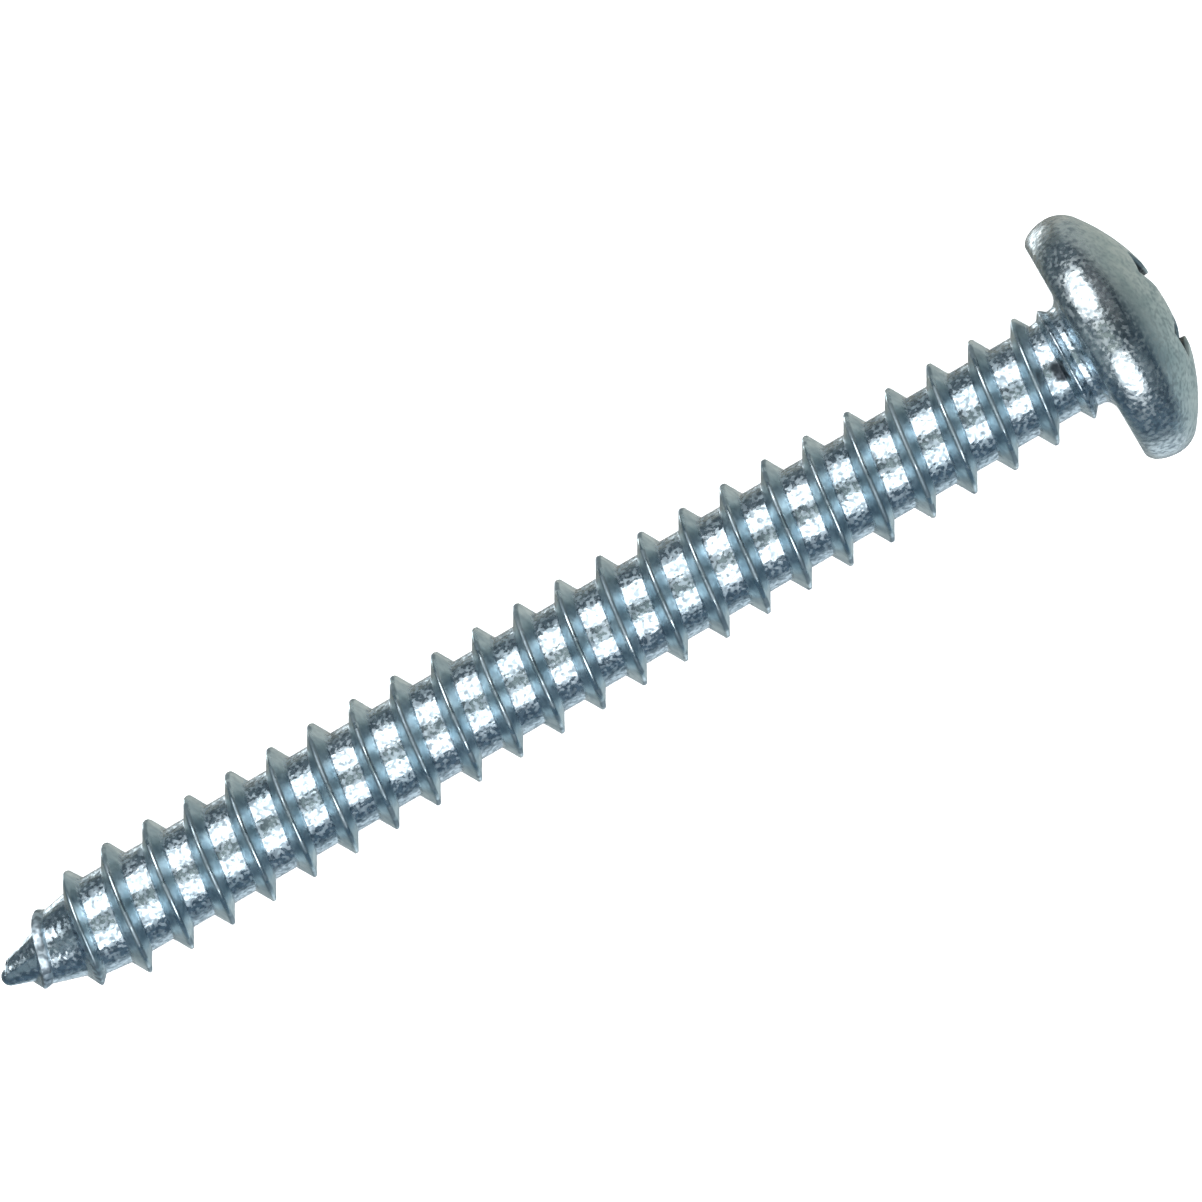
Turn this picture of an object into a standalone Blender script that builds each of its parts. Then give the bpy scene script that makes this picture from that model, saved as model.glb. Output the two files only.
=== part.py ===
"""Pan head sheet metal screw with a coarse tapping thread, a tapered point and a cross recess.

The screw is built along X, with X = 0 on the bearing face under the head, the head
towards +X and the point towards -X. It is then laid down as it comes to rest on a
flat surface: on the rim of its head and on a crest of its thread near the point.
"""

import math

import bmesh
import bpy

MM = 0.001

# Shank and thread
LENGTH = 38.0 * MM               # bearing face to the end of the point
THREAD_DIAMETER = 4.12 * MM      # over the crests
CORE_DIAMETER = 3.00 * MM        # at the root
PITCH = 1.446 * MM
THREAD_HAND = -1                 # -1 left-hand, as pictured; +1 right-hand
FLANK_POINT_SIDE = math.radians(31.5)   # of the ridge, from the plane across the axis
FLANK_HEAD_SIDE = math.radians(35.5)
ROOT_FILLET = 0.10 * MM          # reach of the fillet from the flank into the root
CREST_OFFSET = 2.906 * MM        # last full crest on the +Y side, below the bearing face

# Run-out of the thread below the head
RUNOUT_START = 2.27 * MM         # below the bearing face
RUNOUT_TURNS = 1.82
CLOSING_START = 0.91 * MM        # the lead of the ridge dies away from here
CLOSING_LENGTH = 0.30 * MM
NECK_ROOT_DIAMETER = 3.26 * MM   # of the root between the last ridge and the neck
NECK_ROOT_REACH = 1.10 * MM      # below the bearing face, where the root begins to widen

# Point
POINT_ANGLE = math.radians(48.4)
POINT_BLEND = 0.48 * MM          # rounding from the cone into the shank
TIP_RADIUS = 0.21 * MM
THREAD_START = 0.13 * MM         # first rise of the ridge, from the end of the point
START_TURNS = 2.20               # from the first rise to the full ridge
ROOT_SLOPE = 0.68                # of the root's own slope on the cone, against the cone's

# Neck and head
NECK_DIAMETER = 4.12 * MM        # where the neck meets the bearing face
NECK_FILLET = 0.32 * MM
HEAD_DIAMETER = 8.16 * MM
HEAD_HEIGHT = 2.87 * MM
BEARING_DIAMETER = 7.14 * MM
RIM_LEVEL = 0.94 * MM            # widest place, above the bearing face
DOME_RADIUS = 6.00 * MM
SHOULDER_LEAST = 0.40 * MM       # least radius between the widest place and the dome
CROWN_DIAMETER = 2.80 * MM       # flattened middle of the dome
CROWN_RISE = 0.02 * MM

# Cross recess
RECESS_SPAN = 4.40 * MM          # across two wings, at the level of the crown
RECESS_WING = 1.14 * MM          # width of a wing at the level of the crown
RECESS_CORE = 2.20 * MM          # across the inner corners, at the level of the crown
RECESS_DEPTH = 2.20 * MM
RECESS_SHOULDER = 1.45 * MM      # depth where the wings end and the pointed floor begins
RECESS_TURN = math.radians(39)   # of a wing, from +Y towards +Z
RECESS_END_TAPER = math.radians(26.5)
RECESS_SIDE_TAPER = math.radians(4.5)

# Facets
THREAD_STEPS = 30                # per turn; the head has twice as many
NECK_STEPS = 3
RIM_STEPS = 7
SHOULDER_STEPS = 5
DOME_STEPS = 5
TIP_STEPS = 2
SEAM = 0.035 * MM                # shortest step kept beside the end rings of the thread

CORE_RADIUS = CORE_DIAMETER / 2
NECK_ROOT_RADIUS = NECK_ROOT_DIAMETER / 2
RIDGE_HEIGHT = (THREAD_DIAMETER - CORE_DIAMETER) / 2
HALF_POINT = POINT_ANGLE / 2
TIP_CENTRE = -LENGTH + TIP_RADIUS
APEX = TIP_CENTRE - TIP_RADIUS / math.sin(HALF_POINT)
TIP_RING = TIP_CENTRE - TIP_RADIUS * math.sin(HALF_POINT)
NECK_RING = -NECK_FILLET


def smooth_min(a, b, blend):
    """Lesser of two radii, with a rounded change from one to the other."""
    near = max(blend - abs(a - b), 0.0) / blend
    return min(a, b) - near * near * blend / 4


def core_radius(x):
    """Radius of the screw without its thread."""
    widening = (x + NECK_ROOT_REACH) / (NECK_ROOT_REACH - NECK_FILLET)
    widening = min(max(widening, 0.0), 1.0)
    shank = CORE_RADIUS + (NECK_ROOT_RADIUS - CORE_RADIUS) * widening ** 2 * (3 - 2 * widening)
    return smooth_min((x - APEX) * math.tan(HALF_POINT), shank, POINT_BLEND)


def ridge_height(crest):
    """Height of the ridge whose crest lies at this place along the unrolled thread."""
    rise = (crest + LENGTH - THREAD_START) / (START_TURNS * PITCH)
    fall = (RUNOUT_TURNS * PITCH - RUNOUT_START - crest) / (RUNOUT_TURNS * PITCH)
    if rise <= 0 or fall <= 0:
        return 0.0
    return RIDGE_HEIGHT * min(rise ** 0.75, 1.0) * min(math.sqrt(fall), 1.0)


def crest_place(crest):
    """Place of a crest along the axis; near the head the ridge closes into a ring."""
    past = crest + CLOSING_START
    if past <= 0:
        return crest
    return -CLOSING_START + CLOSING_LENGTH * (1 - math.exp(-past / CLOSING_LENGTH))


def ridge_profile(crest):
    """Root, fillet, crest, fillet and root of the ridge, as (place, radius) pairs."""
    height = ridge_height(crest)
    if height <= 0:
        return None
    share = 0.35 + 0.65 * height / RIDGE_HEIGHT
    fillet = share * ROOT_FILLET
    foot = fillet * 0.5
    place = crest_place(crest)

    def root(offset):
        """Root surface beside the ridge, which climbs less steeply than the cone."""
        if crest > -LENGTH / 2:
            return core_radius(place + offset)
        middle = math.copysign(PITCH / 2, offset)
        level = core_radius(place + middle + (offset - middle) * ROOT_SLOPE)
        return max(level, 0.6 * core_radius(place + offset))

    foot_rise = foot * 0.55
    points = []
    for side, angle in ((-1, FLANK_POINT_SIDE), (1, FLANK_HEAD_SIDE)):
        half = share * RIDGE_HEIGHT * math.tan(angle)
        flank = [(place + side * (half - foot), root(side * (half - foot)) + foot_rise),
                 (place + side * (half + fillet), root(side * (half + fillet)))]
        points.append(flank)
    top = (place, core_radius(place) + height)
    return [points[0][1], points[0][0], top, points[1][0], points[1][1]]


def dome_shape():
    """Radius and centre of the dome, and radius of the round that leads into it.

    The round starts at the widest place of the head and touches the dome; a dome too
    narrow for the head is widened until the round has room.
    """
    crown, head_radius = CROWN_DIAMETER / 2, HEAD_DIAMETER / 2
    radius = DOME_RADIUS
    for _ in range(200):
        centre = HEAD_HEIGHT - CROWN_RISE - math.sqrt(radius ** 2 - crown ** 2)
        gap = RIM_LEVEL - centre
        shoulder = (radius ** 2 - gap ** 2 - head_radius ** 2) / (2 * (radius - head_radius))
        if shoulder >= SHOULDER_LEAST:
            break
        radius *= 1.02
    return radius, centre, shoulder


def head_outline():
    """Outline of the neck and the head, from the thread up to the middle of the crown."""
    outline = []
    rise = NECK_DIAMETER / 2 - NECK_ROOT_RADIUS
    for step in range(1, NECK_STEPS + 1):
        turn = math.pi / 2 * step / NECK_STEPS
        outline.append((-NECK_FILLET * (1 - math.sin(turn)),
                        NECK_ROOT_RADIUS + rise * (1 - math.cos(turn))))
    head_radius, bearing = HEAD_DIAMETER / 2, BEARING_DIAMETER / 2
    inset = head_radius - bearing
    for step in range(RIM_STEPS + 1):
        turn = math.pi / 2 * step / RIM_STEPS
        outline.append((RIM_LEVEL * (1 - math.cos(turn)), bearing + inset * math.sin(turn)))
    dome, centre, shoulder = dome_shape()
    end = math.atan2(RIM_LEVEL - centre, head_radius - shoulder)
    for step in range(1, SHOULDER_STEPS + 1):
        turn = end * step / SHOULDER_STEPS
        outline.append((RIM_LEVEL + shoulder * math.sin(turn),
                        head_radius - shoulder * (1 - math.cos(turn))))
    narrow = math.acos(CROWN_DIAMETER / 2 / dome)
    for step in range(1, DOME_STEPS + 1):
        turn = end + (narrow - end) * step / DOME_STEPS
        outline.append((centre + dome * math.sin(turn), dome * math.cos(turn)))
    outline.append((HEAD_HEIGHT, 0.0))
    return outline


def ring(bm, place, radius, steps, shift=0.0):
    """Ring of vertices around the axis, turned from +Y towards +Z."""
    verts = []
    for i in range(steps):
        turn = 2 * math.pi * (i + shift) / steps
        verts.append(bm.verts.new((place, radius * math.cos(turn), radius * math.sin(turn))))
    return verts


def face(bm, *verts):
    """Face over the verts, without repeats; too few of them make none."""
    corners = []
    for vert in verts:
        if vert not in corners:
            corners.append(vert)
    if len(corners) > 2:
        bm.faces.new(corners)


def bridge(bm, lower, upper):
    """Faces between two rings with as many verts each."""
    for i, vert in enumerate(lower):
        j = (i + 1) % len(lower)
        face(bm, vert, lower[j], upper[j], upper[i])


def threaded_shank(bm, tip_ring, neck_ring):
    """Thread and root from the ring at the tip to the ring at the neck."""
    first = math.floor((-LENGTH + CREST_OFFSET) / PITCH) - 1
    last = math.ceil((CREST_OFFSET + RUNOUT_TURNS * PITCH) / PITCH) + 1
    columns = []
    for i in range(THREAD_STEPS):
        turn = 2 * math.pi * i / THREAD_STEPS
        column = {}
        for k in range(first, last + 1):
            crest = -CREST_OFFSET + PITCH * (k + THREAD_HAND * i / THREAD_STEPS)
            profile = ridge_profile(crest)
            end_ring = tip_ring if crest < -LENGTH / 2 else neck_ring
            if profile is None:
                column[k] = [end_ring[i]] * 5
                continue
            column[k] = []
            for place, radius in profile:
                if place < TIP_RING + SEAM:
                    column[k].append(tip_ring[i])
                elif place > NECK_RING - SEAM:
                    column[k].append(neck_ring[i])
                else:
                    column[k].append(bm.verts.new(
                        (place, radius * math.cos(turn), radius * math.sin(turn))))
        columns.append(column)
    for i in range(THREAD_STEPS):
        here = columns[i]
        after = columns[(i + 1) % THREAD_STEPS]
        shift = THREAD_HAND if i == THREAD_STEPS - 1 else 0
        left, right = [tip_ring[i]], [tip_ring[(i + 1) % THREAD_STEPS]]
        for k in range(first, last + 1):
            left += here[k]
            if k + shift in after:
                right += after[k + shift]
            else:
                outer = tip_ring if k + shift < first else neck_ring
                right += [outer[(i + 1) % THREAD_STEPS]] * 5
        left.append(neck_ring[i])
        right.append(neck_ring[(i + 1) % THREAD_STEPS])
        for m in range(len(left) - 1):
            face(bm, left[m], right[m], right[m + 1], left[m + 1])


def screw_mesh():
    """Closed surface of the whole screw, before its recess is cut."""
    bm = bmesh.new()
    tip_ring = ring(bm, TIP_RING, core_radius(TIP_RING), THREAD_STEPS)
    neck_ring = ring(bm, NECK_RING, NECK_ROOT_RADIUS, THREAD_STEPS)
    threaded_shank(bm, tip_ring, neck_ring)

    lower = tip_ring
    reach = math.pi / 2 - HALF_POINT
    for step in range(1, TIP_STEPS):
        turn = reach * (1 - step / TIP_STEPS)
        radius = TIP_RADIUS * math.sin(turn)
        upper = ring(bm, TIP_CENTRE - TIP_RADIUS * math.cos(turn), radius, THREAD_STEPS)
        bridge(bm, lower, upper)
        lower = upper
    end = bm.verts.new((-LENGTH, 0.0, 0.0))
    for i in range(THREAD_STEPS):
        face(bm, lower[i], lower[(i + 1) % THREAD_STEPS], end)

    outline = head_outline()
    lower = neck_ring
    for place, radius in outline[:NECK_STEPS]:
        upper = ring(bm, place, radius, THREAD_STEPS)
        bridge(bm, lower, upper)
        lower = upper
    head_steps = 2 * THREAD_STEPS
    place, radius = outline[NECK_STEPS]
    rim = ring(bm, place, radius, head_steps, shift=0.5)
    for i in range(THREAD_STEPS):
        j = (i + 1) % THREAD_STEPS
        face(bm, lower[i], rim[2 * i - 1], rim[2 * i])
        face(bm, lower[i], rim[2 * i], rim[2 * i + 1], lower[j])
    lower = rim
    for place, radius in outline[NECK_STEPS + 1:-1]:
        upper = ring(bm, place, radius, head_steps, shift=0.5)
        bridge(bm, lower, upper)
        lower = upper
    crown = bm.verts.new((outline[-1][0], 0.0, 0.0))
    for i in range(head_steps):
        face(bm, lower[i], lower[(i + 1) % head_steps], crown)

    bmesh.ops.recalc_face_normals(bm, faces=bm.faces)
    mesh = bpy.data.meshes.new("screw")
    bm.to_mesh(mesh)
    bm.free()
    return mesh


def recess_mesh():
    """Tapered cross with cut inner corners and a pointed floor, to be taken from the head."""
    bm = bmesh.new()
    above = 0.5 * MM
    levels = [
        (HEAD_HEIGHT + above, -above),
        (HEAD_HEIGHT - RECESS_SHOULDER, RECESS_SHOULDER),
    ]
    rings = []
    for place, depth in levels:
        reach = RECESS_SPAN / 2 - depth * math.tan(RECESS_END_TAPER)
        side = RECESS_WING / 2 - depth * math.tan(RECESS_SIDE_TAPER)
        corner = RECESS_CORE / 2 / math.sqrt(2) - depth * math.tan(RECESS_SIDE_TAPER) / 2
        along = corner + (corner - side) / math.tan(math.radians(24))
        outline = [(along, -side), (reach, -side), (reach, side), (along, side), (corner, corner)]
        verts = []
        for wing in range(4):
            turn = RECESS_TURN + math.pi / 2 * wing
            for a, b in outline:
                y = a * math.cos(turn) - b * math.sin(turn)
                z = a * math.sin(turn) + b * math.cos(turn)
                verts.append(bm.verts.new((place, y, z)))
        rings.append(verts)
    bridge(bm, rings[0], rings[1])
    bm.faces.new(rings[0])
    floor = bm.verts.new((HEAD_HEIGHT - RECESS_DEPTH, 0.0, 0.0))
    count = len(rings[1])
    for i in range(count):
        face(bm, rings[1][i], rings[1][(i + 1) % count], floor)
    bmesh.ops.recalc_face_normals(bm, faces=bm.faces)
    mesh = bpy.data.meshes.new("recess_cutter")
    bm.to_mesh(mesh)
    bm.free()
    return mesh


def resting_side(mesh):
    """Two points of the outline, seen along Y, that the screw lies on."""
    hull = []
    for x, z in sorted((vert.co.x, vert.co.z) for vert in mesh.vertices):
        while len(hull) > 1:
            (ax, az), (bx, bz) = hull[-2], hull[-1]
            if (bx - ax) * (z - az) - (bz - az) * (x - ax) > 0:
                break
            hull.pop()
        hull.append((x, z))
    return max(zip(hull, hull[1:]), key=lambda side: side[1][0] - side[0][0])


def zinc_plated_steel():
    material = bpy.data.materials.new("zinc_plated_steel")
    material.use_nodes = True
    shader = material.node_tree.nodes["Principled BSDF"]
    shader.inputs["Base Color"].default_value = (0.60, 0.65, 0.68, 1.0)
    shader.inputs["Metallic"].default_value = 1.0
    shader.inputs["Roughness"].default_value = 0.32
    material.diffuse_color = (0.60, 0.65, 0.68, 1.0)
    return material


def build():
    for item in list(bpy.data.objects):
        bpy.data.objects.remove(item, do_unlink=True)

    mesh = screw_mesh()
    mesh.materials.append(zinc_plated_steel())
    mesh.shade_smooth()
    mesh.set_sharp_from_angle(angle=math.radians(38))
    screw = bpy.data.objects.new("screw", mesh)
    bpy.context.scene.collection.objects.link(screw)

    (near_x, near_z), (far_x, far_z) = resting_side(mesh)
    tilt = math.atan2(near_z - far_z, far_x - near_x)
    xs = [v.co.x * math.cos(tilt) - v.co.z * math.sin(tilt) for v in mesh.vertices]
    zs = [v.co.x * math.sin(tilt) + v.co.z * math.cos(tilt) for v in mesh.vertices]
    screw.rotation_euler = (0.0, -tilt, 0.0)
    screw.location = (-(min(xs) + max(xs)) / 2, 0.0, -min(zs))

    cutter = bpy.data.objects.new("recess_cutter", recess_mesh())
    cutter.hide_render = True
    cutter.display_type = "WIRE"
    cutter.parent = screw
    bpy.context.scene.collection.objects.link(cutter)
    cut = screw.modifiers.new("recess", "BOOLEAN")
    cut.operation = "DIFFERENCE"
    cut.solver = "EXACT"
    cut.object = cutter


build()
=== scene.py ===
"""Sheet metal screw lying on a pale floor: fine surface, zinc plated finish, studio light."""

import functools
import math

import bmesh
import bpy
from mathutils import Matrix, Vector, noise


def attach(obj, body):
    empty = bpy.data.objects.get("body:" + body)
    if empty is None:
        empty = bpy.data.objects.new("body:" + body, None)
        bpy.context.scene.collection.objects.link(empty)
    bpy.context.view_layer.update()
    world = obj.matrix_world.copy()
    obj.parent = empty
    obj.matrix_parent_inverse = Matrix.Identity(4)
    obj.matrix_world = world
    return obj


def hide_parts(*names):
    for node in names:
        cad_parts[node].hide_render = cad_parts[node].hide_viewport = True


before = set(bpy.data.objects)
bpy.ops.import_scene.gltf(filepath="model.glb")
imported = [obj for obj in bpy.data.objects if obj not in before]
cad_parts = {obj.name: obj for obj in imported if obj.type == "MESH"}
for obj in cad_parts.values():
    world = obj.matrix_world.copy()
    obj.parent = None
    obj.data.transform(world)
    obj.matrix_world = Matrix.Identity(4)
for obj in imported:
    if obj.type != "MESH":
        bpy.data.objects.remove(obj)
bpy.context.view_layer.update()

MM = 0.001

# The screw's own frame: X = 0 on the bearing face, the head towards +X
LENGTH = 38.0 * MM

# Thread
THREAD_DIAMETER = 4.12 * MM
CORE_DIAMETER = 3.00 * MM
PITCH = 1.446 * MM
THREAD_HAND = -1                            # -1 is left-hand, 1 is right-hand
FLANK_POINT_SIDE = math.radians(28.5)
FLANK_HEAD_SIDE = math.radians(28.0)
ROOT_FILLET = 0.015 * MM
CREST_FLAT = 0.102 * MM
CREST_ROUND = 0.014 * MM
CREST_OFFSET = 2.855 * MM                   # from the bearing face to a crest on the +Y side
LOW_RIDGE_WIDTH = 0.35                      # share of its full width where the ridge fades out
HEIGHT_WAVES = ((0.045, 0.31 * MM, 3.1), (0.025, 0.09 * MM, 7.7))   # share, step, seed
PLACE_WAVE = (0.016 * MM, 0.40 * MM, 12.9)                          # size, step, seed

# Run-out under the head, where the ridge sinks and closes into a ring
RUNOUT_START = 2.27 * MM
RUNOUT_TURNS = 1.82
CLOSING_START = 0.91 * MM
CLOSING_LENGTH = 0.30 * MM

# Point, and the first turns on it by the number of turns from the start
POINT_ANGLE = math.radians(48.4)
POINT_BLEND = 0.48 * MM
TIP_RADIUS = 0.30 * MM
THREAD_START = 0.13 * MM
START_RISE = ((0.0, 0.0), (0.4, 0.33), (0.7, 0.37), (1.2, 0.52), (1.75, 0.62), (2.2, 0.84),
              (2.65, 1.0))                  # share of the ridge's full height
START_SKEW = ((0.2, 0.0), (0.69, -0.13 * MM), (1.19, 0.06 * MM), (1.69, -0.02 * MM),
              (2.19, 0.0))                  # how far the crest is off the helix
BLUNT_FLAT = 0.30 * MM
BLUNT_PLACE = 0.95
BLUNT_REACH = 0.24
ROOT_SLOPE = 0.68                           # of the root between turns, as a share of the cone's
ROOT_LEAST = 0.6

# Neck and head
NECK_ROOT_DIAMETER = 3.26 * MM
NECK_ROOT_REACH = 1.10 * MM
NECK_DIAMETER = 4.12 * MM
NECK_FILLET = 0.32 * MM
HEAD_DIAMETER = 8.16 * MM
HEAD_HEIGHT = 2.87 * MM
BEARING_DIAMETER = 7.14 * MM
RIM_LEVEL = 0.94 * MM
DOME_RADIUS = 6.00 * MM
CROWN_DIAMETER = 2.80 * MM
CROWN_RISE = 0.02 * MM
CROWN_BLEND = 0.05 * MM

# Cross recess
RECESS_SPAN = 4.40 * MM
RECESS_WING = 1.14 * MM
RECESS_CORE = 2.20 * MM
RECESS_DEPTH = 2.20 * MM
RECESS_SHOULDER = 1.45 * MM
RECESS_TURN = math.radians(39)
RECESS_END_TAPER = math.radians(26.5)
RECESS_SIDE_TAPER = math.radians(4.5)
RECESS_CORNER = math.radians(24)
RECESS_EDGE = 0.045 * MM

# Facets of the fine surface
STEPS = 96                                  # to a turn of the thread
FILLET_STEPS = 3
UPPER_FLANK = 0.8                           # place of the flank's middle vert
TIP_STEPS = 7
NECK_STEPS = 8
RIM_STEPS = 24
SHOULDER_STEPS = 18
DOME_STEPS = 12
DOME_RING = 2.55 * MM                       # last ring of the dome outside the recess
DOME_CUTS = 5
WING_STEPS = (4, 10, 12, 10, 4)             # along a wing: corner, side, end, side, corner
LIP_TURNS = (math.radians(30), math.radians(60), math.radians(90))
WALL_SHARES = (0.25, 0.5, 0.75, 0.92, 1.0)
FLOOR_SHARES = (0.93, 0.7, 0.45, 0.2, 0.0)
SEAM = 0.012 * MM                           # verts this near to an end ring join it
NEAR = 0.001 * MM

CORE_RADIUS = CORE_DIAMETER / 2
THREAD_RADIUS = THREAD_DIAMETER / 2
NECK_ROOT_RADIUS = NECK_ROOT_DIAMETER / 2
RIDGE_HEIGHT = (THREAD_DIAMETER - CORE_DIAMETER) / 2
HALF_POINT = POINT_ANGLE / 2
TIP_CENTRE = -LENGTH + TIP_RADIUS
APEX = TIP_CENTRE - TIP_RADIUS / math.sin(HALF_POINT)
TIP_RING = TIP_CENTRE - TIP_RADIUS * math.sin(HALF_POINT)
NECK_RING = -NECK_FILLET
DOME_CENTRE = HEAD_HEIGHT - CROWN_RISE - math.sqrt(DOME_RADIUS ** 2 - (CROWN_DIAMETER / 2) ** 2)


def smooth_min(a, b, blend):
    near = max(blend - abs(a - b), 0.0) / blend
    return min(a, b) - near * near * blend / 4


def core_radius(x):
    widening = (x + NECK_ROOT_REACH) / (NECK_ROOT_REACH - NECK_FILLET)
    widening = min(max(widening, 0.0), 1.0)
    shank = CORE_RADIUS + (NECK_ROOT_RADIUS - CORE_RADIUS) * widening ** 2 * (3 - 2 * widening)
    return smooth_min((x - APEX) * math.tan(HALF_POINT), shank, POINT_BLEND)


def uneven(place, step, seed):
    """Slow unevenness along the thread, from -1 to 1."""
    return noise.noise(Vector((place / step, seed, 0.37 * seed)))


def started(crest):
    """Turns of the thread from its start on the point to this crest."""
    return (crest + LENGTH - THREAD_START) / PITCH


def eased(rows, turns):
    """Value at this number of turns, eased from row to row of (turns, value)."""
    if turns <= rows[0][0]:
        return rows[0][1]
    for (low, value), (high, next_value) in zip(rows, rows[1:]):
        if turns <= high:
            share = (turns - low) / (high - low)
            return value + (next_value - value) * share * share * (3 - 2 * share)
    return rows[-1][1]


def ridge_height(crest):
    turns = started(crest)
    fall = (RUNOUT_TURNS * PITCH - RUNOUT_START - crest) / (RUNOUT_TURNS * PITCH)
    if turns <= 0 or fall <= 0:
        return 0.0
    waves = sum(share * uneven(crest, step, seed) for share, step, seed in HEIGHT_WAVES)
    return RIDGE_HEIGHT * eased(START_RISE, turns) * min(math.sqrt(fall), 1.0) * (1 + waves)


def crest_place(crest):
    size, step, seed = PLACE_WAVE
    wobble = size * uneven(crest, step, seed)
    past = crest + CLOSING_START
    if past <= 0:
        return crest + wobble + eased(START_SKEW, started(crest))
    return wobble - CLOSING_START + CLOSING_LENGTH * (1 - math.exp(-past / CLOSING_LENGTH))


@functools.cache
def ridge_profile(crest):
    """Points of the ridge from the root on the point side to the root on the head side."""
    height = ridge_height(crest)
    if height <= 0:
        return None
    share = LOW_RIDGE_WIDTH + (1 - LOW_RIDGE_WIDTH) * height / RIDGE_HEIGHT
    reach = share * ROOT_FILLET
    place = crest_place(crest)

    def root(offset):
        """Root's distance from the axis; on the point it steps up from turn to turn."""
        if crest > -LENGTH / 2:
            return core_radius(place + offset)
        middle = math.copysign(PITCH / 2, offset)
        level = core_radius(place + middle + (offset - middle) * ROOT_SLOPE)
        return max(level, ROOT_LEAST * core_radius(place + offset))

    crown = core_radius(place) + height
    blunt = BLUNT_FLAT * max(1 - ((started(crest) - BLUNT_PLACE) / BLUNT_REACH) ** 2, 0.0)
    flat = (CREST_FLAT * share + blunt) / 2
    sides = []
    for side, angle in ((-1, FLANK_POINT_SIDE), (1, FLANK_HEAD_SIDE)):
        half = share * (RIDGE_HEIGHT * math.tan(angle) + CREST_FLAT / 2)
        bend = math.pi / 2 - angle
        radius = reach / math.tan(bend / 2)
        points = []
        for step in range(FILLET_STEPS + 1):
            turn = bend * step / FILLET_STEPS
            x = half + reach - radius * math.sin(turn)
            rise = radius * (1 - math.cos(turn))
            points.append((place + side * x, root(side * x) + rise))
        foot = points[-1]
        edge = (place + side * min(flat, 0.6 * half), crown - share * CREST_ROUND)
        upper = tuple(low + UPPER_FLANK * (high - low) for low, high in zip(foot, edge))
        sides.append(points + [upper, edge])
    return sides[0] + [(place, crown)] + sides[1][::-1]


def dome_level(radius):
    """Height of the dome over the bearing face at this distance from the axis."""
    sphere = DOME_CENTRE + math.sqrt(max(DOME_RADIUS ** 2 - radius ** 2, 0.0))
    flat = HEAD_HEIGHT - CROWN_RISE * (2 * radius / CROWN_DIAMETER) ** 2
    return smooth_min(sphere, flat, CROWN_BLEND)


def tip_outline():
    """Rounded end of the point, from the last ring of the cone."""
    angles = [(math.pi / 2 - HALF_POINT) * (1 - k / TIP_STEPS) for k in range(TIP_STEPS + 1)]
    return [(TIP_CENTRE - TIP_RADIUS * math.cos(angle), TIP_RADIUS * math.sin(angle))
            for angle in angles]


def neck_outline():
    """Fillet from the root to the bearing face."""
    rise = NECK_DIAMETER / 2 - NECK_ROOT_RADIUS
    turns = [math.pi / 2 * k / NECK_STEPS for k in range(NECK_STEPS + 1)]
    return [(-NECK_FILLET * (1 - math.sin(turn)), NECK_ROOT_RADIUS + rise * (1 - math.cos(turn)))
            for turn in turns]


def rim_outline():
    """Rim from the bearing face to the dome outside the recess."""
    outline = []
    head_radius, bearing = HEAD_DIAMETER / 2, BEARING_DIAMETER / 2
    inset = head_radius - bearing
    for k in range(RIM_STEPS + 1):
        turn = math.pi / 2 * k / RIM_STEPS
        outline.append((RIM_LEVEL * (1 - math.cos(turn)), bearing + inset * math.sin(turn)))

    # Round from the widest place, touching the dome
    gap = RIM_LEVEL - DOME_CENTRE
    shoulder = (DOME_RADIUS ** 2 - gap ** 2 - head_radius ** 2) / (2 * (DOME_RADIUS - head_radius))
    end = math.atan2(gap, head_radius - shoulder)
    for k in range(1, SHOULDER_STEPS + 1):
        turn = end * k / SHOULDER_STEPS
        outline.append((RIM_LEVEL + shoulder * math.sin(turn),
                        head_radius - shoulder * (1 - math.cos(turn))))
    start = outline[-1][1]
    for k in range(1, DOME_STEPS + 1):
        radius = start + (DOME_RING - start) * k / DOME_STEPS
        outline.append((dome_level(radius), radius))
    return outline


def cross_point(n, depth, swell=0.0):
    """Point n of the recess's outline at a depth below the crown."""
    reach = RECESS_SPAN / 2 - depth * math.tan(RECESS_END_TAPER) + swell
    side = RECESS_WING / 2 - depth * math.tan(RECESS_SIDE_TAPER) + swell
    corner = RECESS_CORE / 2 / math.sqrt(2) - depth * math.tan(RECESS_SIDE_TAPER) / 2 + 0.8 * swell
    along = corner + (corner - side) / math.tan(RECESS_CORNER)
    knots = [(corner, -corner), (along, -side), (reach, -side), (reach, side), (along, side),
             (corner, corner)]
    wing, step = divmod(n, sum(WING_STEPS))
    for (a0, b0), (a1, b1), count in zip(knots, knots[1:], WING_STEPS):
        if step < count:
            break
        step -= count
    a, b = a0 + (a1 - a0) * step / count, b0 + (b1 - b0) * step / count
    turn = RECESS_TURN + math.pi / 2 * wing
    return a * math.cos(turn) - b * math.sin(turn), a * math.sin(turn) + b * math.cos(turn)


def turned(bm, outline, steps):
    """Spin an outline of points (place, distance from the axis) round the axis."""
    row = [bm.verts.new((place, radius, 0.0)) for place, radius in outline]
    edges = [bm.edges.new(pair) for pair in zip(row, row[1:])]
    bmesh.ops.spin(bm, geom=row + edges, axis=(1, 0, 0), angle=2 * math.pi, steps=steps,
                   use_merge=True)


def open_ring(bm, place, radius):
    """Edges of the open ring at a place and a distance from the axis."""
    return [edge for edge in bm.edges if edge.is_boundary and all(
        abs(vert.co.x - place) < NEAR and abs(math.hypot(vert.co.y, vert.co.z) - radius) < NEAR
        for vert in edge.verts)]


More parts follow.
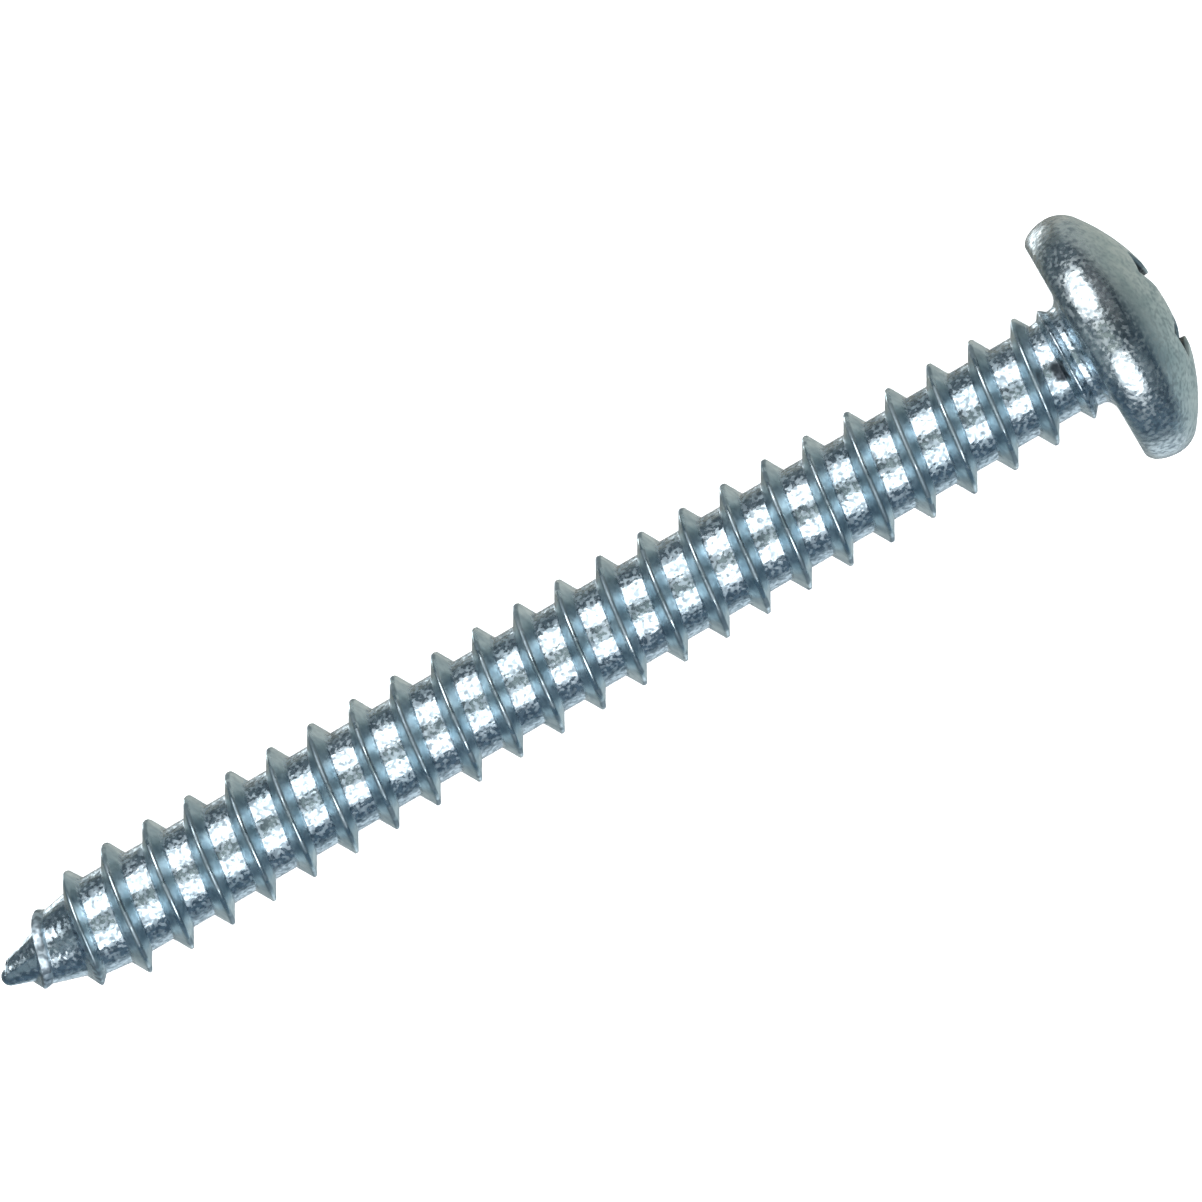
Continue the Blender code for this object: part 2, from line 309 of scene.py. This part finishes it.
def threaded_shank(bm):
    """Spin a row of ridges along a helix, then put each vert where the thread has it."""
    number = bm.verts.layers.int["number"]
    first = math.floor((CREST_OFFSET - LENGTH) / PITCH) - 1
    last = math.ceil(CREST_OFFSET / PITCH + RUNOUT_TURNS) + 1
    count = len(ridge_profile(-LENGTH / 2))
    rise = THREAD_HAND * PITCH / STEPS
    row = []
    for n in range((last - first + 1) * count):
        row.append(bm.verts.new(((first + n // count) * PITCH - CREST_OFFSET, CORE_RADIUS, 0.0)))
        row[-1][number] = n
    edges = [bm.edges.new(pair) for pair in zip(row, row[1:])]
    bmesh.ops.spin(bm, geom=row + edges, axis=(1, 0, 0), dvec=(rise, 0, 0), angle=2 * math.pi,
                   steps=STEPS)
    for vert in bm.verts:
        start = (first + vert[number] // count) * PITCH - CREST_OFFSET
        step = round((vert.co.x - start) / rise)
        crest = start + rise * step
        profile = ridge_profile(crest)
        beyond = (math.copysign(LENGTH, crest + LENGTH / 2), 0.0)   # joins an end ring below
        place, radius = profile[vert[number] % count] if profile else beyond
        if place < TIP_RING + SEAM:
            place, radius = TIP_RING, core_radius(TIP_RING)
        elif place > NECK_RING - SEAM:
            place, radius = NECK_RING, NECK_ROOT_RADIUS
        turn = 2 * math.pi * step / STEPS
        vert.co = place, radius * math.cos(turn), radius * math.sin(turn)


def recess(bm):
    """Dome round the recess, its rounded lip, its walls and its pointed floor."""
    number = bm.verts.layers.int["number"]
    steps = 4 * sum(WING_STEPS)
    depths = [0.1 * MM] * steps     # of the recess's upper edge, found in a few rounds
    for _ in range(8):
        for n, depth in enumerate(depths):
            depths[n] = HEAD_HEIGHT - dome_level(math.hypot(*cross_point(n, depth))) + RECESS_EDGE

    lip = []
    for n, depth in enumerate(depths):
        y, z = cross_point(n, depth, RECESS_EDGE)
        lip.append(bm.verts.new((dome_level(math.hypot(y, z)), y, z)))
        lip[-1][number] = n
    edges = [bm.edges.new(pair) for pair in zip(lip, lip[1:] + lip[:1])]
    dome = open_ring(bm, dome_level(DOME_RING), DOME_RING)
    spokes = bmesh.ops.bridge_loops(bm, edges=dome + edges)["edges"]
    for item in bmesh.ops.subdivide_edges(bm, edges=spokes, cuts=DOME_CUTS)["geom_inner"]:
        if isinstance(item, bmesh.types.BMVert):
            item.co.x = dome_level(math.hypot(item.co.y, item.co.z))

    def drawn(place):
        """Extrude the last loop and put each new vert where its number says."""
        nonlocal edges
        made = bmesh.ops.extrude_edge_only(bm, edges=edges)["geom"]
        verts = {item for item in made if isinstance(item, bmesh.types.BMVert)}
        for vert in verts:
            vert.co = place(vert[number])
        edges = [item for item in made
                 if isinstance(item, bmesh.types.BMEdge) and verts.issuperset(item.verts)]

    for angle in LIP_TURNS:
        def lip_round(n):
            y, z = cross_point(n, depths[n], RECESS_EDGE * (1 - math.sin(angle)))
            return dome_level(math.hypot(y, z)) - RECESS_EDGE * (1 - math.cos(angle)), y, z
        drawn(lip_round)
    for share in WALL_SHARES:
        def wall(n):
            depth = depths[n] + (RECESS_SHOULDER - depths[n]) * share
            return HEAD_HEIGHT - depth, *cross_point(n, depth)
        drawn(wall)
    for share in FLOOR_SHARES:
        def floor(n):
            y, z = cross_point(n, RECESS_SHOULDER)
            depth = RECESS_DEPTH + (RECESS_SHOULDER - RECESS_DEPTH) * share
            return HEAD_HEIGHT - depth, y * share, z * share
        drawn(floor)


def screw_mesh():
    bm = bmesh.new()
    bm.verts.layers.int.new("number")
    threaded_shank(bm)
    turned(bm, tip_outline(), STEPS)
    turned(bm, neck_outline(), STEPS)
    turned(bm, rim_outline(), 4 * sum(WING_STEPS))
    bmesh.ops.bridge_loops(bm, edges=open_ring(bm, 0.0, NECK_DIAMETER / 2)
                           + open_ring(bm, 0.0, BEARING_DIAMETER / 2))
    recess(bm)
    bmesh.ops.remove_doubles(bm, verts=bm.verts, dist=NEAR)
    bmesh.ops.recalc_face_normals(bm, faces=bm.faces)
    data = bpy.data.meshes.new("screw_surface")
    bm.to_mesh(data)
    bm.free()
    return data


def resting_side(mesh):
    """Two points of the outline, seen along Y, that the screw lies on."""
    hull = []
    for x, z in sorted((vert.co.x, vert.co.z) for vert in mesh.vertices):
        while len(hull) > 1:
            (ax, az), (bx, bz) = hull[-2], hull[-1]
            if (bx - ax) * (z - az) - (bz - az) * (x - ax) > 0:
                break
            hull.pop()
        hull.append((x, z))
    return max(zip(hull, hull[1:]), key=lambda side: side[1][0] - side[0][0])


mesh = screw_mesh()
(near_x, near_z), (far_x, far_z) = resting_side(mesh)
TILT = math.atan2(near_z - far_z, far_x - near_x)
mesh.transform(Matrix.Rotation(-TILT, 4, "Y"))
low_z = min(v.co.z for v in mesh.vertices)
mid_x = (min(v.co.x for v in mesh.vertices) + max(v.co.x for v in mesh.vertices)) / 2
SEAT = Vector((-mid_x, 0.0, -low_z))        # middle of the bearing face as the screw lies
mesh.transform(Matrix.Translation(SEAT))
AXIS = Vector((math.cos(TILT), 0.0, math.sin(TILT)))
SIDE = Vector((0.0, 1.0, 0.0))
FRONT = AXIS.cross(SIDE)


# Zinc plated steel: colours in pairs are the darker and the lighter
ROOT_COLOURS = (0.53, 0.635, 0.70), (0.62, 0.71, 0.77)
RIDGE_COLOURS = (0.46, 0.58, 0.64), (0.73, 0.84, 0.88)
RIM_COLOURS = (0.57, 0.64, 0.67), (0.65, 0.71, 0.73)
DOME_COLOURS = (0.56, 0.66, 0.65), (0.76, 0.83, 0.80)
SPOT_COLOUR = (0.20, 0.26, 0.31)
WORN_COLOUR = (0.16, 0.21, 0.25)
START_COLOUR = (0.24, 0.29, 0.33)
MARK_COLOUR = (0.02, 0.025, 0.035)
# Painted shade: dark colour inside the cross recess
PAINTED_RECESS_SHADE = (0.13, 0.14, 0.14)

# Noise: scale to the metre, detail, roughness, seed
PITS = (5500.0, 1.0, 0.35, 0.0)
STAINS = (5200.0, 1.0, 0.4, 3.0)
CRYSTALS = (7500.0, 1.0, 0.4, 7.0)
CLOUD = (1500.0, 2.0, 0.5, 0.0)
BROAD = (620.0, 2.0, 0.5, 0.0)
NICKS = (1900.0, 1.0, 0.5, 11.0)

PIT_DEPTH = 0.020 * MM
DARK_MARK = (-0.99 * MM, -0.17 * MM, 1.60 * MM)


class Nodes:
    """Short hand for building a node tree."""

    def __init__(self, tree):
        self.tree = tree

    def add(self, kind, **values):
        node = self.tree.nodes.new(kind)
        for name, value in values.items():
            setattr(node, name, value)
        return node

    def link(self, source, target):
        self.tree.links.new(source, target)

    def value(self, socket, item):
        if isinstance(item, bpy.types.NodeSocket):
            self.link(item, socket)
        else:
            socket.default_value = item

    def math(self, operation, a, b):
        node = self.add("ShaderNodeMath", operation=operation)
        self.value(node.inputs[0], a)
        self.value(node.inputs[1], b)
        return node.outputs[0]

    def total(self, start, *terms):
        """Start plus the sum of (mask, amount) terms."""
        for mask, amount in terms:
            start = self.math("ADD", start, self.math("MULTIPLY", mask, amount))
        return start

    def vector(self, operation, a, b=None, scale=None):
        node = self.add("ShaderNodeVectorMath", operation=operation)
        self.value(node.inputs[0], a)
        if b is not None:
            self.value(node.inputs[1], b)
        if scale is not None:
            self.value(node.inputs["Scale"], scale)
        return node.outputs["Value"] if operation in ("DOT_PRODUCT", "LENGTH") else node.outputs[0]

    def split(self, vector):
        node = self.add("ShaderNodeSeparateXYZ")
        self.value(node.inputs[0], vector)
        return node.outputs

    def ramp(self, value, low, high, to_low=0.0, to_high=1.0, kind="SMOOTHSTEP"):
        node = self.add("ShaderNodeMapRange", interpolation_type=kind)
        for name, item in (("Value", value), ("From Min", low), ("From Max", high),
                           ("To Min", to_low), ("To Max", to_high)):
            self.value(node.inputs[name], item)
        return node.outputs["Result"]

    def noise(self, where, scale, detail, roughness, seed):
        node = self.add("ShaderNodeTexNoise", noise_dimensions="4D")
        self.value(node.inputs["Vector"], where)
        for name, item in (("W", seed), ("Scale", scale), ("Detail", detail),
                           ("Roughness", roughness)):
            node.inputs[name].default_value = item
        return node.outputs["Fac"]

    def mix(self, factor, a, b):
        node = self.add("ShaderNodeMix", data_type="RGBA")
        self.value(node.inputs["Factor"], factor)
        for name, item in (("A", a), ("B", b)):
            self.value(node.inputs[name], (*item, 1.0) if isinstance(item, tuple) else item)
        return node.outputs["Result"]


def regions(n, where):
    """Masks of the screw's regions, from 0 to 1."""
    along = n.split(where)[0]
    radius = n.vector("LENGTH", n.vector("MULTIPLY", where, (0.0, 1.0, 1.0)))
    on = {"head": n.ramp(along, -0.1 * MM, 0.1 * MM),
          "dome": n.ramp(along, 1.20 * MM, 2.20 * MM),
          "tip": n.ramp(along, -34.8 * MM, -35.4 * MM)}
    on["ridge"] = n.math("MULTIPLY", n.ramp(along, -0.7 * MM, -1.0 * MM),
                         n.ramp(radius, CORE_RADIUS + 0.03 * MM, CORE_RADIUS + 0.12 * MM))
    on["crest"] = n.math("MULTIPLY", n.math("SUBTRACT", 1.0, on["head"]),
                         n.ramp(radius, THREAD_RADIUS - 0.10 * MM, THREAD_RADIUS - 0.04 * MM))
    cone = n.math("MULTIPLY", n.math("SUBTRACT", along, APEX), math.tan(HALF_POINT))
    on["start"] = n.math("MULTIPLY", on["tip"],
                         n.ramp(n.math("SUBTRACT", radius, cone), 0.06 * MM, 0.16 * MM))
    # Inside the cross recess, which the colour darkens as painted shade
    below = n.vector("LENGTH", n.vector("SUBTRACT", where, (DOME_CENTRE, 0.0, 0.0)))
    floor_end = n.math("MULTIPLY", n.ramp(along, 0.55 * MM, 0.60 * MM),
                       n.ramp(radius, 2.25 * MM, 2.15 * MM))
    on["recess"] = n.math("MULTIPLY", floor_end,
                          n.ramp(below, DOME_RADIUS - 0.06 * MM, DOME_RADIUS - 0.16 * MM))
    return on


def dark_mark(n, where, stains):
    """Mask of a dark patch beside the run-out of the thread."""
    mark = n.vector("MULTIPLY", n.vector("SUBTRACT", where, DARK_MARK), (0.85, 0.55, 0.55))
    mark = n.total(n.vector("LENGTH", mark), (stains, 0.20 * MM))
    return n.ramp(mark, 0.40 * MM, 0.22 * MM)


def plating_colour(n, where, on, stains):
    cloud = n.noise(where, *CLOUD)
    broad = n.noise(where, *BROAD)
    root = n.mix(n.ramp(broad, 0.35, 0.65), *ROOT_COLOURS)
    ridge = n.mix(n.ramp(cloud, 0.34, 0.66), *RIDGE_COLOURS)
    rim = n.mix(n.ramp(broad, 0.35, 0.65), *RIM_COLOURS)
    dome = n.mix(n.ramp(cloud, 0.30, 0.70), *DOME_COLOURS)
    colour = n.mix(on["head"], n.mix(on["ridge"], root, ridge), rim)
    colour = n.mix(on["dome"], colour, dome)

    share = n.total(0.55, (on["dome"], -0.48), (on["ridge"], -0.40))
    spots = n.math("MULTIPLY", n.ramp(stains, 0.55, 0.38), share)
    started_dark = n.math("MULTIPLY", on["start"], n.ramp(stains, 0.60, 0.40, 0.0, 0.75))
    # Darker colours laid over: stain spots, worn crest nicks, mottling on the first turns, a dark
    # patch by the run-out, and painted shade inside the cross recess
    for factor, dark in ((spots, SPOT_COLOUR),
                         (n.math("MULTIPLY", on["worn"], 0.5), WORN_COLOUR),
                         (started_dark, START_COLOUR),
                         (n.math("MULTIPLY", on["mark"], 0.9), MARK_COLOUR),
                         (on["recess"], PAINTED_RECESS_SHADE)):
        colour = n.mix(factor, colour, dark)
    return colour


def plating_roughness(n, where, on):
    share = n.total(1.0, (on["ridge"], -0.75), (on["head"], -0.25), (on["tip"], -0.40))
    crystals = n.ramp(n.noise(where, *CRYSTALS), 0.46, 0.64, 0.0, 0.36)
    rough = n.math("ADD", n.math("MULTIPLY", crystals, share), 0.20)
    return n.total(rough, (on["dome"], 0.16), (on["ridge"], 0.08), (on["tip"], -0.02),
                   (on["start"], 0.26), (on["mark"], 0.15), (on["crest"], -0.11),
                   (on["worn"], 0.36))


def plating_grain(n, where, on):
    """Normal with shallow pits, fewer on the head and hardly any on the ridge."""
    share = n.total(1.0, (on["head"], -0.25), (on["dome"], -0.60), (on["ridge"], -0.85))
    bump = n.add("ShaderNodeBump")
    bump.inputs["Strength"].default_value = 1.0
    bump.inputs["Distance"].default_value = PIT_DEPTH
    n.link(n.math("MULTIPLY", n.noise(where, *PITS), share), bump.inputs["Height"])
    return bump.outputs["Normal"]


def zinc_material():
    material = bpy.data.materials.new("zinc_plated_steel_fine")
    material.use_nodes = True
    tree = material.node_tree
    n = Nodes(tree)
    shader = tree.nodes["Principled BSDF"]
    shader.inputs["Metallic"].default_value = 1.0
    mapping = n.add("ShaderNodeMapping", vector_type="TEXTURE")
    n.link(n.add("ShaderNodeTexCoord").outputs["Object"], mapping.inputs["Vector"])
    mapping.inputs["Location"].default_value = SEAT
    mapping.inputs["Rotation"].default_value = (0.0, -TILT, 0.0)
    where = mapping.outputs["Vector"]

    on = regions(n, where)
    stains = n.noise(where, *STAINS)
    on["mark"] = dark_mark(n, where, stains)
    on["worn"] = n.math("MULTIPLY", on["crest"], n.ramp(n.noise(where, *NICKS), 0.42, 0.56))
    n.link(plating_colour(n, where, on, stains), shader.inputs["Base Color"])
    n.link(plating_roughness(n, where, on), shader.inputs["Roughness"])
    n.link(plating_grain(n, where, on), shader.inputs["Normal"])
    return material


mesh.materials.append(zinc_material())
mesh.shade_smooth()
mesh.set_sharp_from_angle(angle=math.radians(50))
screw = bpy.data.objects.new("screw_surface", mesh)
bpy.context.scene.collection.objects.link(screw)
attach(screw, "root")
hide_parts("screw")


# Floor

FLOOR_RADIUS = 0.9
COVE_RADIUS = 0.3
COVE_STEPS = 12
BACKDROP_HEIGHT = 0.6
FLOOR_GAP = 0.02 * MM


def floor_material():
    material = bpy.data.materials.new("pale_floor")
    material.use_nodes = True
    shader = material.node_tree.nodes["Principled BSDF"]
    shader.inputs["Base Color"].default_value = (0.93, 0.93, 0.93, 1.0)
    shader.inputs["Roughness"].default_value = 0.8
    shader.inputs["Specular IOR Level"].default_value = 0.2
    return material


def floor_sweep():
    """Round flat floor that curves up into a backdrop all round."""
    bm = bmesh.new()
    bmesh.ops.create_circle(bm, cap_ends=True, segments=96, radius=FLOOR_RADIUS)
    edges = bm.edges[:]
    turns = [math.pi / 2 * k / COVE_STEPS for k in range(1, COVE_STEPS + 1)]
    rings = [(FLOOR_RADIUS + COVE_RADIUS * math.sin(turn), COVE_RADIUS * (1 - math.cos(turn)))
             for turn in turns]
    for radius, height in rings + [(FLOOR_RADIUS + COVE_RADIUS, BACKDROP_HEIGHT)]:
        made = bmesh.ops.extrude_edge_only(bm, edges=edges)["geom"]
        edges = [item for item in made if isinstance(item, bmesh.types.BMEdge)]
        for vert in {item for item in made if isinstance(item, bmesh.types.BMVert)}:
            vert.co = (*(vert.co.to_2d().normalized() * radius), height)
        edges = [edge for edge in edges if edge.is_boundary]
    data = bpy.data.meshes.new("floor")
    bm.to_mesh(data)
    bm.free()
    data.transform(Matrix.Translation((0, 0, -FLOOR_GAP)))
    data.shade_smooth()
    item = bpy.data.objects.new("floor", data)
    bpy.context.scene.collection.objects.link(item)
    return item


floor = floor_sweep()
floor.data.materials.append(floor_material())
floor.visible_glossy = False


# Light

# Room from straight below to straight above the screw: share of the way, colour
ROOM = ((0.00, (0.62, 0.66, 0.64)), (0.20, (0.54, 0.60, 0.58)), (0.28, (0.36, 0.46, 0.50)),
        (0.35, (0.12, 0.165, 0.205)), (0.60, (0.10, 0.145, 0.18)), (1.00, (0.11, 0.14, 0.155)))

# Pale places in the room: way there (along, to the side, up), cosines of their width, colour
GLOWS = (((-0.26, 0.55, -0.80), 0.968, 0.993, (2.3, 2.4, 2.4)),
         ((-0.15, -0.60, -0.78), 0.965, 0.990, (1.1, 1.2, 1.2)),
         ((-0.12, -0.65, -0.75), 0.88, 1.0, (0.84, 0.94, 1.00)),
         ((-0.38, -0.20, -0.90), 0.955, 0.992, (0.50, 0.54, 0.54)),
         ((0.60, 0.60, -0.53), 0.80, 0.97, (0.42, 0.46, 0.45)),
         ((0.65, 0.55, 0.50), 0.88, 0.99, (0.24, 0.25, 0.26)),
         ((0.65, -0.55, 0.50), 0.88, 0.99, (0.20, 0.25, 0.28)),
         ((-0.75, 0.0, 0.66), 0.85, 0.97, (0.22, 0.28, 0.31)),
         ((-0.14, -0.04, 0.99), 0.93, 0.975, (0.36, 0.42, 0.41)))

# Casts of the light towards -Y and towards +Y
COOL_CAST = (0.95, 1.02, 1.09)
WARM_CAST = (1.02, 0.95, 0.89)


def studio_world():
    """Room that the metal mirrors: pale below, dim at the screw's height and overhead."""
    world = bpy.data.worlds.new("studio")
    bpy.context.scene.world = world
    world.use_nodes = True
    n = Nodes(world.node_tree)
    background = world.node_tree.nodes["Background"]
    way = n.add("ShaderNodeTexCoord").outputs["Generated"]
    height = n.vector("DOT_PRODUCT", way, tuple(FRONT))
    ramp = n.add("ShaderNodeValToRGB")
    ramp.color_ramp.interpolation = "B_SPLINE"
    elements = ramp.color_ramp.elements
    while len(elements) < len(ROOM):
        elements.new(0.5)
    for element, (place, colour) in zip(elements, ROOM):
        element.position = place
        element.color = (*colour, 1.0)
    n.link(n.ramp(height, -1.0, 1.0, kind="LINEAR"), ramp.inputs["Fac"])
    sideways = n.vector("DOT_PRODUCT", way, tuple(SIDE))
    along = n.vector("DOT_PRODUCT", way, tuple(AXIS))

    # Dimmer towards the point's end and, above the floor, past the head
    side = n.ramp(sideways, -0.25, 0.15, 0.96, 1.0)
    end = n.ramp(along, 0.0, 0.30, 0.50, 1.0)
    head_end = n.ramp(along, 0.25, 0.65, 1.0, 0.62)
    head_end = n.math("MAXIMUM", head_end, n.ramp(height, -0.30, -0.50))
    dim = n.math("SUBTRACT", 1.0, n.math("MULTIPLY", side, end))
    dim = n.math("SUBTRACT", 1.0, n.math("MULTIPLY", dim, n.ramp(height, -0.15, -0.45)))
    cast = n.mix(n.ramp(sideways, -0.35, 0.35), COOL_CAST, WARM_CAST)
    tint = n.vector("MULTIPLY", ramp.outputs["Color"], cast)
    tint = n.vector("SCALE", tint, scale=n.math("MULTIPLY", dim, head_end))
    for towards, low, high, colour in GLOWS:
        a, l, h = Vector(towards).normalized()
        aim = tuple(AXIS * a + SIDE * l + FRONT * h)
        tint = n.mix(n.ramp(n.vector("DOT_PRODUCT", way, aim), low, high), tint, colour)
    n.link(tint, background.inputs["Color"])
    background.inputs["Strength"].default_value = 1.0


studio_world()


def softbox(name, angle, distance, long_side, short_side, power, along):
    """Soft lamp at an angle from straight above the screw, towards +Y or -Y, facing it."""
    data = bpy.data.lights.new(name, "AREA")
    data.shape = "ELLIPSE"
    data.size = long_side
    data.size_y = short_side
    data.energy = power
    item = bpy.data.objects.new(name, data)
    bpy.context.scene.collection.objects.link(item)
    out = FRONT * math.cos(angle) + SIDE * math.sin(angle)
    place = SEAT - AXIS * (LENGTH / 2) + AXIS * along + out * distance
    rows = Matrix((AXIS, out.cross(AXIS), out)).transposed()
    item.matrix_world = Matrix.Translation(place) @ rows.to_4x4()
    return item


softbox("softbox_up", angle=math.radians(44.7), distance=0.30, long_side=0.29,
        short_side=0.252, power=0.57, along=-0.030)
softbox("softbox_down", angle=math.radians(-36.2), distance=0.30, long_side=0.29,
        short_side=0.212, power=0.48, along=-0.030)

# Fill for the floor alone, which the metal doesn't mirror
fill = softbox("fill", angle=0.0, distance=0.80, long_side=0.9, short_side=0.9, power=16.0,
               along=0.0)
fill.visible_glossy = False


# Camera, straight over the bearing face and turned to the middle of the picture

PICTURE = 1202
PIXEL = MM / 33.00              # at the screw
BEARING_PIXEL = 657.0           # along the screw in the photo, to the bearing face
CENTRE_PIXEL = 113.3            # and to the middle of the picture
SIDE_PIXEL = 27.6               # from the screw's axis to the middle of the picture
ROLL = math.radians(30.18)      # rise of the axis to the right in the picture
EYE_DISTANCE = 0.445

camera_data = bpy.data.cameras.new("camera")
camera = bpy.data.objects.new("camera", camera_data)
bpy.context.scene.collection.objects.link(camera)
bpy.context.scene.camera = camera
beside = SEAT + SIDE * (SIDE_PIXEL * PIXEL)
target = beside + AXIS * ((CENTRE_PIXEL - BEARING_PIXEL) * PIXEL)
eye = beside + FRONT * EYE_DISTANCE
back = (eye - target).normalized()
camera_data.sensor_width = 36.0
camera_data.lens = camera_data.sensor_width * (eye - target).length / (PICTURE * PIXEL)
camera_data.clip_start = 0.05
camera_data.clip_end = 5.0
rising = (AXIS - back * AXIS.dot(back)).normalized()
across = back.cross(rising)
right = rising * math.cos(ROLL) - across * math.sin(ROLL)
rows = Matrix((right, back.cross(right), back)).transposed()
camera.matrix_world = Matrix.Translation(eye) @ rows.to_4x4()

bpy.context.scene.view_settings.view_transform = "Standard"
